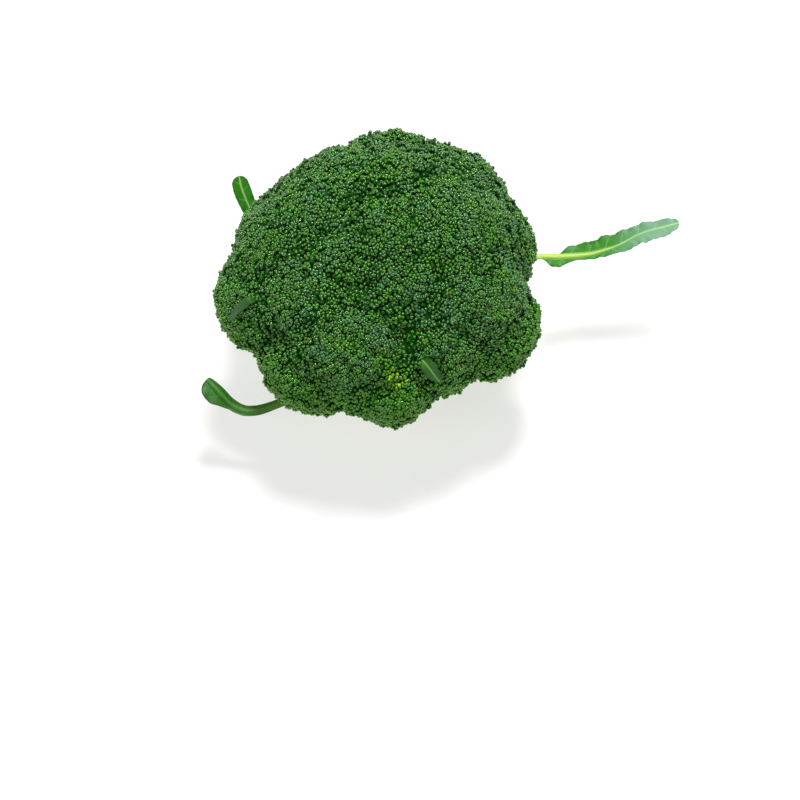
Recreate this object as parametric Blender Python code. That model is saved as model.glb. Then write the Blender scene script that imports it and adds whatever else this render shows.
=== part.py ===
"""A head of broccoli as it is sold: a short cut stalk, the floret stems that branch off it,
the domed masses of flower buds that the stems carry, and the few small leaves between them.

The origin is the middle of the stalk's cut face, on which the head stands. +Z is up the stalk,
and the low, broad florets at its front face -Y. Lengths are in metres and angles in degrees.
"""

from collections import namedtuple
from math import cos, pi, radians, sin

import bmesh
import bpy
from mathutils import Vector

# Driving dimensions
CROWN_SEMI_AXES = Vector((0.0750, 0.0715, 0.0590))
CROWN_CENTRE = Vector((0.0, -0.0030, 0.0660))
HEAD_DEPTH = 0.0215
HEAD_LEAN_SHARE = 0.72
GAP = 0.0003
LEAF_CREASE = 0.0021
STALK_HEIGHT = 0.0520
STALK_CUT_RADIUS = 0.0215
STALK_TOP_RADIUS = 0.0100
STALK_TOP_DOME = 0.0030
STALK_RIDGES = 5
STALK_RIDGE_SHARE = 0.10
STEM_RADII = (0.0052, 0.0049, 0.0047, 0.0047, 0.0049, 0.0054, 0.0064, 0.0080, 0.0088)
STEM_END_STRAIGHT = 0.0030
STEM_BEND = 0.40
STEM_RISE = 0.75
LEAF_THICKNESS = 0.0010

# How finely the curved shapes are divided
STALK_STEPS = 8
STALK_SIDES = 40
STEM_BEVEL_STEPS = 2
LEAF_SECTION = 8
LEAF_STEPS_A_POINT = 2

# tilt is the angle from straight up and turn the angle about the stalk, both of the middle of
# the head. radius is its dome's, and swell how far the dome stands out of the crown's shape.
# attach is how high on the stalk the stem starts, and side the angle about it where it starts.
Floret = namedtuple("Floret", "name tilt turn radius swell attach side")
FLORETS = (
    Floret("middle", 15, -42, 0.040, 0.0035, 0.0500, -40),
    Floret("middle_left", 33, -128, 0.038, 0.000, 0.0460, -128),
    Floret("back_top", 36, 70, 0.038, 0.004, 0.0460, 66),
    Floret("back_left_top", 38, 126, 0.037, 0.005, 0.0470, 126),
    Floret("middle_front", 46, -68, 0.038, -0.001, 0.0390, -70),
    Floret("left_top", 43, 170, 0.037, 0.002, 0.0420, 176),
    Floret("right_top", 53, 5, 0.044, 0.006, 0.0390, 2),
    Floret("left", 66, -174, 0.033, 0.003, 0.0225, -175),
    Floret("right", 71, -30, 0.035, 0.006, 0.0310, -30),
    Floret("front_left", 77, -105, 0.036, 0.005, 0.0270, -104),
    Floret("left_front", 66, -138, 0.034, 0.001, 0.0300, -139),
    Floret("back_right", 63, 38, 0.036, 0.006, 0.0310, 40),
    Floret("back", 66, 79, 0.034, 0.004, 0.0310, 82),
    Floret("back_left", 70, 138, 0.032, -0.003, 0.0300, 134),
    Floret("rim_left", 83, -160, 0.029, 0.007, 0.0120, -160),
    Floret("rim_front_left", 94, -124, 0.029, 0.008, 0.0120, -126),
    Floret("rim_front", 94, -84, 0.026, 0.007, 0.0130, -84),
    Floret("rim_front_right", 82, -56, 0.031, 0.003, 0.0190, -56),
    Floret("rim_right_front", 92, -28, 0.029, 0.009, 0.0140, -26),
    Floret("rim_right", 85, 15, 0.031, 0.003, 0.0180, 14),
    Floret("rim_back_right", 88, 60, 0.027, 0.000, 0.0160, 62),
    Floret("rim_back", 90, 106, 0.026, 0.000, 0.0150, 106),
    Floret("rim_back_left", 90, 155, 0.025, 0.000, 0.0150, 156),
)

# A leaf's points run from the stalk, or from a crease between heads, to its tip, with its half
# width at each. across points from its middle to its edge, and fold lifts the edges by a share.
Leaf = namedtuple("Leaf", "name points half_widths across fold")
LEAVES = (
    Leaf(
        "right_leaf",
        (
            (0.0160, 0.0030, 0.0070),
            (0.0340, 0.0080, 0.0150),
            (0.0540, 0.0130, 0.0310),
            (0.0660, 0.0160, 0.0430),
            (0.0760, 0.0180, 0.0520),
            (0.0900, 0.0180, 0.0530),
            (0.1000, 0.0183, 0.0535),
            (0.1110, 0.0190, 0.0550),
            (0.1300, 0.0240, 0.0630),
            (0.1450, 0.0270, 0.0700),
        ),
        (0.0022, 0.0020, 0.0018, 0.0016, 0.0014, 0.0015, 0.0045, 0.0058, 0.0048, 0.0006),
        (0.0, 1.0, 0.25),
        0.25,
    ),
    Leaf(
        "back_left_leaf",
        (
            (-0.0130, 0.0090, 0.0070),
            (-0.0300, 0.0190, 0.0160),
            (-0.0460, 0.0280, 0.0310),
            (-0.0560, 0.0340, 0.0460),
            (-0.0600, 0.0370, 0.0570),
            (-0.0640, 0.0410, 0.0650),
            (-0.0690, 0.0460, 0.0730),
            (-0.0710, 0.0490, 0.0775),
        ),
        (0.0022, 0.0019, 0.0017, 0.0018, 0.0028, 0.0040, 0.0038, 0.0016),
        (0.8, 0.5, -0.6),
        0.20,
    ),
    Leaf(
        "front_left_leaf",
        (
            (-0.0090, -0.0130, 0.0060),
            (-0.0200, -0.0330, 0.0150),
            (-0.0320, -0.0470, 0.0270),
            (-0.0430, -0.0560, 0.0340),
            (-0.0580, -0.0610, 0.0365),
            (-0.0730, -0.0600, 0.0400),
            (-0.0880, -0.0530, 0.0450),
        ),
        (0.0024, 0.0022, 0.0022, 0.0026, 0.0034, 0.0044, 0.0020),
        (0.4, -0.6, 0.7),
        0.60,
    ),
    Leaf(
        "back_right_leaf",
        (
            (0.0110, 0.0110, 0.0070),
            (0.0220, 0.0240, 0.0150),
            (0.0340, 0.0380, 0.0260),
            (0.0420, 0.0480, 0.0370),
            (0.0470, 0.0540, 0.0460),
            (0.0490, 0.0570, 0.0530),
        ),
        (0.0022, 0.0020, 0.0022, 0.0042, 0.0040, 0.0010),
        (0.75, -0.65, 0.0),
        0.30,
    ),
    Leaf(
        "underside_leaf",
        (
            (0.0150, -0.0040, 0.0060),
            (0.0280, -0.0090, 0.0130),
            (0.0400, -0.0130, 0.0220),
            (0.0500, -0.0160, 0.0310),
            (0.0580, -0.0180, 0.0370),
        ),
        (0.0022, 0.0020, 0.0030, 0.0042, 0.0012),
        (0.3, 0.9, 0.0),
        0.30,
    ),
    Leaf(
        "tucked_front_leaf",
        (
            (0.0116, -0.0351, 0.0698),
            (0.0122, -0.0420, 0.0749),
            (0.0129, -0.0488, 0.0800),
            (0.0135, -0.0557, 0.0850),
            (0.0142, -0.0625, 0.0901),
            (0.0160, -0.0666, 0.0912),
            (0.0188, -0.0690, 0.0888),
            (0.0218, -0.0706, 0.0855),
            (0.0252, -0.0722, 0.0804),
        ),
        (0.0007, 0.0007, 0.0007, 0.0007, 0.0007, 0.0016, 0.0033, 0.0034, 0.0010),
        (0.86, 0.12, 0.49),
        0.15,
    ),
    Leaf(
        "tucked_left_leaf",
        (
            (-0.0438, -0.0234, 0.0768),
            (-0.0471, -0.0276, 0.0833),
            (-0.0504, -0.0319, 0.0898),
            (-0.0538, -0.0361, 0.0963),
            (-0.0585, -0.0385, 0.0970),
            (-0.0635, -0.0400, 0.0927),
            (-0.0675, -0.0408, 0.0877),
            (-0.0710, -0.0410, 0.0815),
        ),
        (0.0007, 0.0007, 0.0007, 0.0007, 0.0014, 0.0017, 0.0015, 0.0005),
        (0.55, -0.81, -0.09),
        0.15,
    ),
)
# Pairs of heads with room between them for the thin stalk of a tucked leaf.
LEAF_CREASES = ({"front_left", "rim_front_right"}, {"rim_left", "left_front"})


def clear_scene():
    for thing in list(bpy.data.objects):
        bpy.data.objects.remove(thing, do_unlink=True)


def new_collection(name, holds_parts=True):
    collection = bpy.data.collections.new(name)
    bpy.context.scene.collection.children.link(collection)
    collection.hide_render = not holds_parts
    return collection


def new_material(name, colour, roughness):
    material = bpy.data.materials.new(name)
    material.use_nodes = True
    shader = material.node_tree.nodes["Principled BSDF"]
    shader.inputs["Base Color"].default_value = (*colour, 1.0)
    shader.inputs["Roughness"].default_value = roughness
    shader.inputs["Metallic"].default_value = 0.0
    return material


def stalk_material(name):
    return new_material(name, (0.42, 0.55, 0.10), 0.45)


def stem_material(name):
    return new_material(name, (0.36, 0.52, 0.06), 0.45)


def bud_material(name):
    return new_material(name, (0.045, 0.12, 0.03), 0.60)


def leaf_material(name):
    return new_material(name, (0.12, 0.28, 0.06), 0.50)


def add_object(name, mesh, collection, material=None):
    thing = bpy.data.objects.new(name, mesh)
    collection.objects.link(thing)
    if material:
        mesh.materials.append(material)
    return thing


def finish_shape(shape, name, collection, material=None):
    """Makes an object of a bmesh, with its faces turned outwards."""
    bmesh.ops.recalc_face_normals(shape, faces=shape.faces)
    mesh = bpy.data.meshes.new(name)
    shape.to_mesh(mesh)
    shape.free()
    return add_object(name, mesh, collection, material)


def direction(tilt, turn):
    """The unit vector tilt degrees from straight up, turned about the stalk."""
    tilt = radians(tilt)
    turn = radians(turn)
    return Vector((sin(tilt) * cos(turn), sin(tilt) * sin(turn), cos(tilt)))


def crown_reach(way):
    """How far the crown's smooth ellipsoid lies from its centre in a direction."""
    return sum((way[i] / CROWN_SEMI_AXES[i]) ** 2 for i in range(3)) ** -0.5


def dome_centre(floret):
    way = direction(floret.tilt, floret.turn)
    return CROWN_CENTRE + way * (crown_reach(way) + floret.swell - floret.radius)


def head_axis(floret):
    """The way a stem points where it meets its head, which is steeper than the head's tilt."""
    return direction(floret.tilt * HEAD_LEAN_SHARE, floret.turn)


def underside_middle(floret):
    """The middle of a head's flat underside, which lies HEAD_DEPTH below its crest."""
    return dome_centre(floret) + head_axis(floret) * (floret.radius - HEAD_DEPTH)


def keep_below(shape, point, normal):
    """Cuts a closed bmesh with a plane, keeps the side away from the normal, and closes it."""
    cut = bmesh.ops.bisect_plane(
        shape,
        geom=shape.verts[:] + shape.edges[:] + shape.faces[:],
        plane_co=point,
        plane_no=normal,
        clear_outer=True,
    )
    edges = [piece for piece in cut["geom_cut"] if isinstance(piece, bmesh.types.BMEdge)]
    if edges:
        bmesh.ops.edgeloop_fill(shape, edges=edges)


def add_head(floret, collection):
    """A dome of buds: a sphere cut flat where it meets each neighbour, and on its underside."""
    name = floret.name + "_buds"
    centre = dome_centre(floret)
    shape = bmesh.new()
    bmesh.ops.create_icosphere(shape, subdivisions=3, radius=floret.radius)
    bmesh.ops.translate(shape, vec=centre, verts=shape.verts)
    for other in FLORETS:
        apart = dome_centre(other) - centre
        if other is floret or apart.length >= floret.radius + other.radius:
            continue
        squares = floret.radius**2 - other.radius**2 + apart.length**2
        along = squares / (2 * apart.length)
        gap = LEAF_CREASE if {floret.name, other.name} in LEAF_CREASES else GAP
        normal = apart.normalized()
        keep_below(shape, centre + normal * (along - gap / 2), normal)
    keep_below(shape, underside_middle(floret), -head_axis(floret))
    return finish_shape(shape, name, collection, bud_material(name))


def loft(name, rings, collection, material=None):
    """A closed solid through rings of points, each ring with as many points as the first."""
    shape = bmesh.new()
    loops = [[shape.verts.new(point) for point in ring] for ring in rings]
    for lower, upper in zip(loops, loops[1:]):
        for i, vert in enumerate(lower):
            after = (i + 1) % len(lower)
            shape.faces.new((vert, lower[after], upper[after], upper[i]))
    shape.faces.new(reversed(loops[0]))
    shape.faces.new(loops[-1])
    return finish_shape(shape, name, collection, material)


def stalk_radius(height):
    """The stalk's mean radius, which shrinks slowly at first and quickly under the florets."""
    share = height / STALK_HEIGHT
    return STALK_CUT_RADIUS + (STALK_TOP_RADIUS - STALK_CUT_RADIUS) * share**1.5


def stalk_ring(height, radius):
    """A ring of five rounded ridges, which fade out towards the stalk's top."""
    ring = []
    for i in range(STALK_SIDES):
        turn = 2 * pi * i / STALK_SIDES
        fade = 1 - height / STALK_HEIGHT
        reach = radius * (1 + STALK_RIDGE_SHARE * fade * cos(STALK_RIDGES * turn))
        ring.append(Vector((reach * cos(turn), reach * sin(turn), height)))
    return ring


def add_stalk(name, collection, material=None, swell=0.0):
    """The stalk, flat at its cut and domed at its top. swell makes it that much fatter."""
    rings = []
    for i in range(STALK_STEPS + 1):
        height = STALK_HEIGHT * i / STALK_STEPS
        rings.append(stalk_ring(height, stalk_radius(height) + swell))
    dome = stalk_ring(STALK_HEIGHT, (STALK_TOP_RADIUS + swell) / 2)
    rings.append([point + Vector((0, 0, STALK_TOP_DOME + swell)) for point in dome])
    return loft(name, rings, collection, material)


def clear_of_stalk(piece, stalk_room):
    """Cuts off what lies inside the stalk, so that the piece starts on the stalk's side."""
    cut = piece.modifiers.new("start_on_stalk", "BOOLEAN")
    cut.operation = "DIFFERENCE"
    cut.solver = "EXACT"
    cut.object = stalk_room


def stem_route(floret):
    """Points on a cubic curve from inside the stalk, outwards and up, to square under the head."""
    axis = head_axis(floret)
    outwards = direction(90, floret.side)
    start = outwards * (stalk_radius(floret.attach) - STEM_RADII[0])
    start.z = floret.attach
    end = underside_middle(floret) - axis * GAP
    turn_in = end - axis * STEM_END_STRAIGHT
    pull = (turn_in - start).length * STEM_BEND
    lead = (outwards + Vector((0, 0, STEM_RISE))).normalized()
    knots = (start, start + lead * pull, turn_in - axis * pull, turn_in)
    steps = len(STEM_RADII) - 2
    route = []
    for i in range(steps + 1):
        t = i / steps
        weights = ((1 - t) ** 3, 3 * t * (1 - t) ** 2, 3 * t * t * (1 - t), t**3)
        route.append(sum((knot * weight for knot, weight in zip(knots, weights)), Vector()))
    return route + [end]


def add_stem(floret, collection, guides, stalk_room):
    """A floret's stem: a tube that narrows off the stalk and fans out under its head of buds."""
    name = floret.name + "_stem"
    curve = bpy.data.curves.new(name + "_route", "CURVE")
    curve.dimensions = "3D"
    curve.bevel_depth = 1.0
    curve.bevel_resolution = STEM_BEVEL_STEPS
    curve.use_fill_caps = True
    route = stem_route(floret)
    spline = curve.splines.new("POLY")
    spline.points.add(len(route) - 1)
    for knot, place, radius in zip(spline.points, route, STEM_RADII):
        knot.co = (*place, 1.0)
        knot.radius = radius
    guide = add_object(curve.name, curve, guides)
    guide.hide_render = True
    bpy.context.view_layer.update()
    tube = guide.evaluated_get(bpy.context.evaluated_depsgraph_get())
    shape = bmesh.new()
    shape.from_mesh(tube.to_mesh())
    tube.to_mesh_clear()
    bmesh.ops.remove_doubles(shape, verts=shape.verts, dist=GAP / 10)
    stem = finish_shape(shape, name, collection, stem_material(name))
    clear_of_stalk(stem, stalk_room)
    return stem


def between(points, step):
    """Points along a smooth curve through the given ones, step to each of their intervals."""
    padded = [2 * points[0] - points[1], *points, 2 * points[-1] - points[-2]]
    smooth = []
    for before, here, there, beyond in zip(padded, padded[1:], padded[2:], padded[3:]):
        for i in range(step):
            t = i / step
            straight = (there - before) * t
            bend = (2 * before - 5 * here + 4 * there - beyond) * t * t
            twist = (3 * here - before - 3 * there + beyond) * t**3
            smooth.append(here + (straight + bend + twist) / 2)
    return smooth + [points[-1]]


def leaf_rings(leaf):
    """Flat oval sections square to the leaf's middle line, their edges lifted into a channel."""
    line = between([Vector(point) for point in leaf.points], LEAF_STEPS_A_POINT)
    widths = between([Vector((width, 0, 0)) for width in leaf.half_widths], LEAF_STEPS_A_POINT)
    rings = []
    for i, middle in enumerate(line):
        along = (line[min(i + 1, len(line) - 1)] - line[max(i - 1, 0)]).normalized()
        across = Vector(leaf.across)
        across = (across - along * across.dot(along)).normalized()
        up = along.cross(across)
        ring = []
        for j in range(LEAF_SECTION):
            turn = 2 * pi * (j + 0.5) / LEAF_SECTION
            side = widths[i].x * cos(turn)
            lift = abs(side) * leaf.fold + LEAF_THICKNESS / 2 * sin(turn)
            ring.append(middle + across * side + up * lift)
        rings.append(ring)
    return rings


def add_leaf(leaf, collection, stalk_room):
    """A leaf grown as one: its stalk below the crown, its blade where it stands clear of it."""
    blade = loft(leaf.name, leaf_rings(leaf), collection, leaf_material(leaf.name))
    clear_of_stalk(blade, stalk_room)
    return blade


def main():
    clear_scene()
    parts = new_collection("broccoli_head")
    guides = new_collection("cutters_and_routes", holds_parts=False)
    add_stalk("main_stalk", parts, stalk_material("main_stalk"))
    stalk_room = add_stalk("main_stalk_room", guides, swell=GAP)
    stalk_room.hide_render = True
    stalk_room.display_type = "WIRE"
    for floret in FLORETS:
        add_stem(floret, parts, guides, stalk_room)
        add_head(floret, parts)
    for leaf in LEAVES:
        add_leaf(leaf, parts, stalk_room)


main()
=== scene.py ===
"""The looks of a head of broccoli: flower buds one by one on their domed heads, the branching
stems that carry them, the cut stalk, the leaves, and a plain pale stage.

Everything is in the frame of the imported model, in metres except for the tables of leaves, which
are in millimetres.
"""

from functools import cache

import bpy
import numpy as np
from bpy.props import FloatProperty, FloatVectorProperty, IntProperty, PointerProperty
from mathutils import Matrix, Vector


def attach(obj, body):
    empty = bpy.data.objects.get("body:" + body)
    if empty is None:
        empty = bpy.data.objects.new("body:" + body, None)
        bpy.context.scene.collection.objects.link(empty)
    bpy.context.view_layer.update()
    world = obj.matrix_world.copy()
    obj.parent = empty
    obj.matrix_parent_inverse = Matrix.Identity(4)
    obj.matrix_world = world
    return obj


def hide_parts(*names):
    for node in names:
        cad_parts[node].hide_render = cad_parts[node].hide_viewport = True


bl_info = {
    "name": "Broccoli head",
    "version": (1, 0, 0),
    "blender": (4, 5, 0),
    "location": "View3D > Sidebar > Broccoli",
    "description": "Builds a head of broccoli bud by bud around its packed solid model",
    "category": "Add Mesh",
}

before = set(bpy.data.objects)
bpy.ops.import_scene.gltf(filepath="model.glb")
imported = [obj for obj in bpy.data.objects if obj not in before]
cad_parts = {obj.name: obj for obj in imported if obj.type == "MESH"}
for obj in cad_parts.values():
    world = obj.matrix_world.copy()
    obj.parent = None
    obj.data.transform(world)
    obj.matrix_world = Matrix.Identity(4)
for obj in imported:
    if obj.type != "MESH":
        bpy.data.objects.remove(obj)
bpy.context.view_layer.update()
UP = np.array((0.0, 0.0, 1.0))
# The name of the map that lays a piece's surface out flat, where the piece has its own.
BAKE_MAP = "OFBake"


# ---- Settings -------------------------------------------------------------------------------


def hex_colour(text):
    """An sRGB hex colour as the linear RGBA that sockets take."""
    srgb = np.array([int(text[i : i + 2], 16) for i in (1, 3, 5)]) / 255
    linear = np.where(srgb <= 0.04045, srgb / 12.92, ((srgb + 0.055) / 1.055) ** 2.4)
    return (*linear.tolist(), 1.0)


def colour_setting(name, description, default):
    """A colour that a user may change. Its default is an sRGB hex value."""
    return FloatVectorProperty(
        name=name,
        description=description,
        default=hex_colour(default),
        subtype="COLOR",
        size=4,
        min=0.0,
        max=1.0,
    )


def length_setting(name, description, default):
    """A length that a user may change."""
    return FloatProperty(
        name=name, description=description, default=default, unit="LENGTH", precision=5
    )


class BudSettings(bpy.types.PropertyGroup):
    """Sizes and colours of the flower buds."""

    spacing: length_setting("Spacing", "Middle to middle of neighbouring buds", 0.00163)
    radius: length_setting("Radius", "Half a bud's width", 0.00094)
    height: length_setting("Height", "Half a bud's length", 0.00122)
    lobe_rise: length_setting("Lobe rise", "How far the lobes of a head stand out", 0.0027)
    rosette_rise: length_setting("Rosette rise", "How far a rosette of buds stands out", 0.0024)
    green: colour_setting("Green", "A bud's side", "#174b0a")
    # Deep green is painted shade. Each bud's foot and the bed between the buds take it, where shade falls
    # among the buds.
    foot_shade_green: colour_setting("Deep green", "A bud's foot, down between its neighbours", "#0a3d04")
    bloom: colour_setting("Bloom", "Greyer green of waxy patches", "#1f4f30")
    # The tip colour is partly the seams where the sepals meet and partly a painted highlight on each bud's
    # tip.
    tip_seams_and_highlight: colour_setting("Tip", "Pale lines where a bud's sepals meet", "#8fba6e")
    # Besides younger buds, this colour goes on buds low on the crown, as painted green light reflected up
    # from below.
    young_and_reflected_green: colour_setting("Young green", "Yellower patches of younger buds", "#2b6e03")
    # Like the tip colour, this is partly sepal seams and partly a painted highlight, on the yellower buds.
    young_seams_and_highlight: colour_setting("Young tip", "The sepals' edges on younger buds", "#7aad2e")
    yellow: colour_setting("Yellow", "Buds about to open", "#8aa822")
    seed: IntProperty(name="Seed", description="Places the buds differently", default=7)


class StemSettings(bpy.types.PropertyGroup):
    """Sizes and colours of the stalk and the branches."""

    voxel: length_setting("Grown together", "Detail of the branching's surface", 0.00105)
    skin: colour_setting("Skin", "Waxy skin of stalk and stems", "#a9c23c")
    skin_pale: colour_setting("Pale skin", "Ridges and bends of the skin", "#d6e07a")
    skin_deep: colour_setting("Deep skin", "Skin in the forks and under the buds", "#6f9420")
    underside: colour_setting("Underside", "Stalklets packed under the buds", "#4c6a16")
    pith: colour_setting("Pith", "Moist middle of the cut", "#ebeac2")
    pith_moist: colour_setting("Moist pith", "Greener patches of the pith", "#dfe3a4")
    pith_ring: colour_setting("Ring", "Woody ring under the skin of the cut", "#c9d65a")


class LeafSettings(bpy.types.PropertyGroup):
    """Sizes and colours of the leaves."""

    thickness: length_setting("Thickness", "Of a blade between its veins", 0.00045)
    blade: colour_setting("Blade", "The leaf's upper side", "#2c7a12")
    blade_dark: colour_setting("Dark blade", "Towards the edges, and in old leaves", "#1b4a08")
    wax: colour_setting("Wax", "Greyer green of a leaf's tip", "#6b9677")
    vein: colour_setting("Vein", "Midrib and side veins", "#a2c87c")
    stalk: colour_setting("Stalk", "The leaf's own stalk", "#b4d25e")


class BroccoliSettings(bpy.types.PropertyGroup):
    """All of the head's settings."""

    buds: PointerProperty(type=BudSettings)
    stems: PointerProperty(type=StemSettings)
    leaves: PointerProperty(type=LeafSettings)


# ---- Meshes and materials -------------------------------------------------------------------


def new_piece(name, points, faces, material, smooth=True):
    """A mesh object from whole arrays of points and of faces with equally many corners."""
    mesh = bpy.data.meshes.new(name)
    count, corners = faces.shape
    mesh.vertices.add(len(points))
    mesh.vertices.foreach_set("co", points.astype(np.float32).ravel())
    mesh.loops.add(count * corners)
    mesh.loops.foreach_set("vertex_index", faces.astype(np.int32).ravel())
    mesh.polygons.add(count)
    mesh.polygons.foreach_set("loop_start", np.arange(0, count * corners, corners, np.int32))
    mesh.polygons.foreach_set("use_smooth", np.full(count, smooth))
    mesh.update(calc_edges=True)
    mesh.validate()
    mesh.materials.append(material)
    piece = bpy.data.objects.new(name, mesh)
    bpy.context.scene.collection.objects.link(piece)
    return piece


def add_attribute(piece, name, values):
    """A colour attribute on a piece's points, which its material reads."""
    attribute = piece.data.attributes.new(name, "FLOAT_COLOR", "POINT")
    rgba = np.ones((len(values), 4), np.float32)
    rgba[:, : values.shape[1]] = values
    attribute.data.foreach_set("color", rgba.ravel())


def add_node(tree, kind, settings=None):
    """Adds a shader node, with its settings and links, and gives its outputs by identifier.

    A key of settings is the identifier of an input or else the name of a field. A value that
    is an output of another node is linked to the input, and any other is set.
    """
    node = tree.nodes.new("ShaderNode" + kind)
    for key, value in (settings or {}).items():
        socket = next((entry for entry in node.inputs if entry.identifier == key), None)
        if socket is None:
            setattr(node, key, value)
        elif isinstance(value, bpy.types.NodeSocket):
            tree.links.new(value, socket)
        else:
            socket.default_value = value
    return {socket.identifier: socket for socket in node.outputs}


# The settings that make a Map Range a smooth step, and a Mix a mix of colours.
SMOOTH = {"interpolation_type": "SMOOTHSTEP"}
COLOURS = {"data_type": "RGBA"}


def new_material(name):
    """A material with a node tree that holds only a Principled shader and the output."""
    material = bpy.data.materials.new(name)
    material.use_nodes = True
    tree = material.node_tree
    return material, tree, tree.nodes["Principled BSDF"]


def bud_material():
    """Closed flower bud: satin green sepals under a thin, bluish-grey wax.

    It gives the eye dark green beads with small sharp glints. Each bud's foot, down between its
    neighbours, is painted deep green as painted shade, and buds near the creases between heads
    are a little darker, which is painted shade too. Pale lines where the four sepals meet near the
    tip are partly the seams and partly a painted highlight. Some patches some way across are
    younger and yellower, and others have more wax. Buds low on the crown are painted yellower,
    as painted green light reflected from below.
    """
    buds = bpy.context.scene.broccoli.buds
    material, tree, shader = new_material("waxy_flower_bud")
    place = add_node(tree, "TexCoord")["Object"]
    data = add_node(tree, "Attribute", {"attribute_name": "bud"})
    tone, tip, young_and_reflected_light = add_node(tree, "SeparateColor", {"Color": data["Color"]}).values()
    # Younger patches are about 8 mm across, waxy ones 12 mm, and the sepals' grain 0.6 mm.
    clouds, haze, grain = (
        add_node(tree, "TexNoise", {"Vector": place, "Scale": 1 / size, "Detail": detail})["Fac"]
        for size, detail in ((0.008, 2.0), (0.012, 3.0), (0.0006, 1.0))
    )
    patches, wax, seam, upper, raised = (
        add_node(tree, "MapRange", {**SMOOTH, "Value": value, "From Min": low, "From Max": high})["Result"]
        for value, low, high in (
            (clouds, 0.46, 0.68),
            (haze, 0.46, 0.62),
            (data["Alpha"], 0.45, 1.0),
            (tip, 0.55, 0.9),
            (tip, 0.38, 0.86),
        )
    )
    # The yellower share also rises for buds low on the crown, which is painted green light reflected from
    # below. The noise patches and the one yellowing patch are the buds' own colour.
    young_and_reflected_share = {"operation": "MULTIPLY_ADD", "Value": patches, "Value_001": 0.55, "Value_002": young_and_reflected_light}
    young_and_reflected_share = add_node(tree, "Math", young_and_reflected_share)["Value"]
    opening = {**SMOOTH, "Value": young_and_reflected_share, "From Min": 1.1, "From Max": 1.8}
    opening = add_node(tree, "MapRange", opening)["Result"]
    green = tuple(buds.green)
    for share, layer in ((wax, buds.bloom), (young_and_reflected_share, buds.young_and_reflected_green), (opening, buds.yellow)):
        layers = {**COLOURS, "Factor_Float": share, "A_Color": green, "B_Color": tuple(layer)}
        green = add_node(tree, "Mix", layers)["Result_Color"]
    light = add_node(tree, "MapRange", {"Value": tone, "To Min": 0.55, "To Max": 1.45})["Result"]
    toned = add_node(tree, "HueSaturation", {"Color": green, "Value": light})["Color"]
    line = {"operation": "MULTIPLY", "Value": seam, "Value_001": upper}
    line = add_node(tree, "Math", line)["Value"]
    # The pale lines near each bud's tip are partly sepal seams and partly a painted highlight.
    pale, deep = tuple(buds.tip_seams_and_highlight), tuple(buds.foot_shade_green)
    edge = {"Factor_Float": young_and_reflected_share, "A_Color": pale, "B_Color": tuple(buds.young_seams_and_highlight)}
    edge = add_node(tree, "Mix", {**COLOURS, **edge})["Result_Color"]
    lined = {**COLOURS, "Factor_Float": line, "A_Color": toned, "B_Color": edge}
    lined = add_node(tree, "Mix", lined)["Result_Color"]
    # Below its upper part each bud takes the deep green: painted shade between neighbouring buds.
    colour = {**COLOURS, "Factor_Float": raised, "A_Color": deep, "B_Color": lined}
    colour = add_node(tree, "Mix", colour)["Result_Color"]
    tree.links.new(colour, shader.inputs["Base Color"])
    shader.inputs["Roughness"].default_value = 0.2
    shader.inputs["Specular IOR Level"].default_value = 0.42
    shader.inputs["Specular Tint"].default_value = (0.62, 1.0, 0.5, 1.0)
    rough = add_node(tree, "Bump", {"Strength": 0.35, "Distance": 0.0003, "Height": grain})
    tree.links.new(rough["Normal"], shader.inputs["Normal"])
    return material


def bed_material():
    """Bud feet and fine stalklets, packed: deep green above, which is painted shade, and yellow-green
    below.

    It gives the eye a dull, deep green between the buds, which is painted shade, and a mottled
    underside.
    """
    stems = bpy.context.scene.broccoli.stems
    material, tree, shader = new_material("packed_stalklets")
    place = add_node(tree, "TexCoord")["Object"]
    data = add_node(tree, "Attribute", {"attribute_name": "bed"})
    above = add_node(tree, "SeparateColor", {"Color": data["Color"]})["Red"]
    # The ends of the stalklets are about 1.6 mm across.
    grain = add_node(tree, "TexNoise", {"Vector": place, "Scale": 1 / 0.0016, "Detail": 2.0})["Fac"]
    ends = {**SMOOTH, "Value": grain, "From Min": 0.35, "From Max": 0.65}
    ends = add_node(tree, "MapRange", ends)["Result"]
    colour = tuple(stems.underside)
    # The upper side takes the buds' deep green: painted shade between the buds.
    for share, layer in (
        (ends, stems.skin_deep),
        (above, bpy.context.scene.broccoli.buds.foot_shade_green),
    ):
        layers = {**COLOURS, "Factor_Float": share, "A_Color": colour, "B_Color": tuple(layer)}
        colour = add_node(tree, "Mix", layers)["Result_Color"]
    tree.links.new(colour, shader.inputs["Base Color"])
    shader.inputs["Roughness"].default_value = 0.8
    shader.inputs["Specular IOR Level"].default_value = 0.1
    rough = add_node(tree, "Bump", {"Strength": 0.8, "Distance": 0.0008, "Height": grain})
    tree.links.new(rough["Normal"], shader.inputs["Normal"])
    return material


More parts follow.
